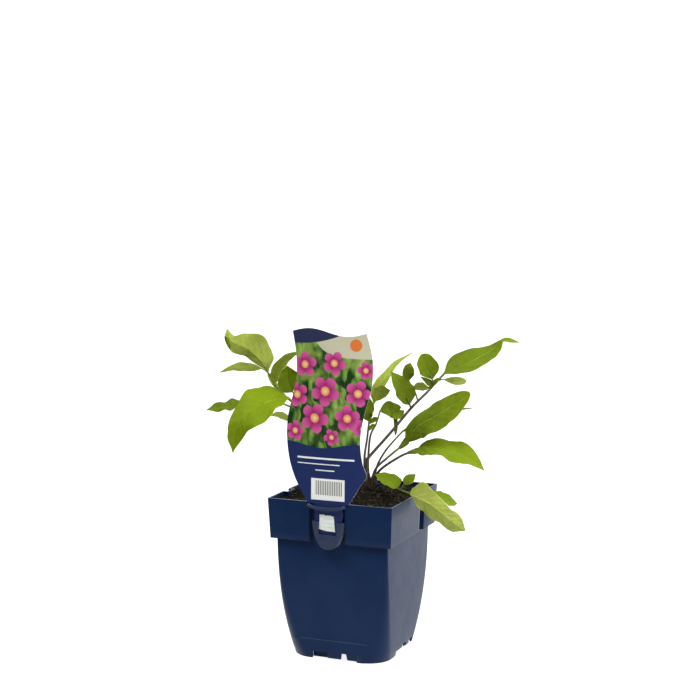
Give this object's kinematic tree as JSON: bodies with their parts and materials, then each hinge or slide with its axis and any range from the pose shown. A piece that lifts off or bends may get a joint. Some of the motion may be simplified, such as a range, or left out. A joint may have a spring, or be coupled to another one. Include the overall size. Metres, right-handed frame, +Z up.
{
  "type": "potted persian cornflower",
  "caption": "Young cut-leaved perennial in a square tapered nursery pot of peat, with a wavy plastic plant label standing in the pot's front holder.",
  "frame": {"origin": "on the ground plane under the middle of the pot", "axes": "+Z up, -Y out of the face that holds the plant label, +X to the right of that face"},
  "size_m": [0.2515, 0.1274, 0.2773],
  "materials": {
    "pot_plastic": "navy moulded plastic with a low sheen",
    "peat": "dark crumbly peat with pale fibres",
    "label_print": "printed plastic film, semi-gloss",
    "sticker_paper": "white paper sticker",
    "leaf": "soft matte leaf, veined, paler below"
  },
  "bodies": {
    "root": {"pot": "pot_plastic", "soil": "peat", "label": "label_print", "sticker": "sticker_paper", "frond_tall_left": "leaf", "frond_broad_left": "leaf", "frond_crumpled_left": "leaf", "frond_tall_centre": "leaf", "frond_short_centre": "leaf", "frond_long_right": "leaf", "frond_hidden_right": "leaf", "frond_dark_right": "leaf", "frond_arching_right": "leaf", "frond_drooping_right": "leaf"}
  },
  "joints": []
}
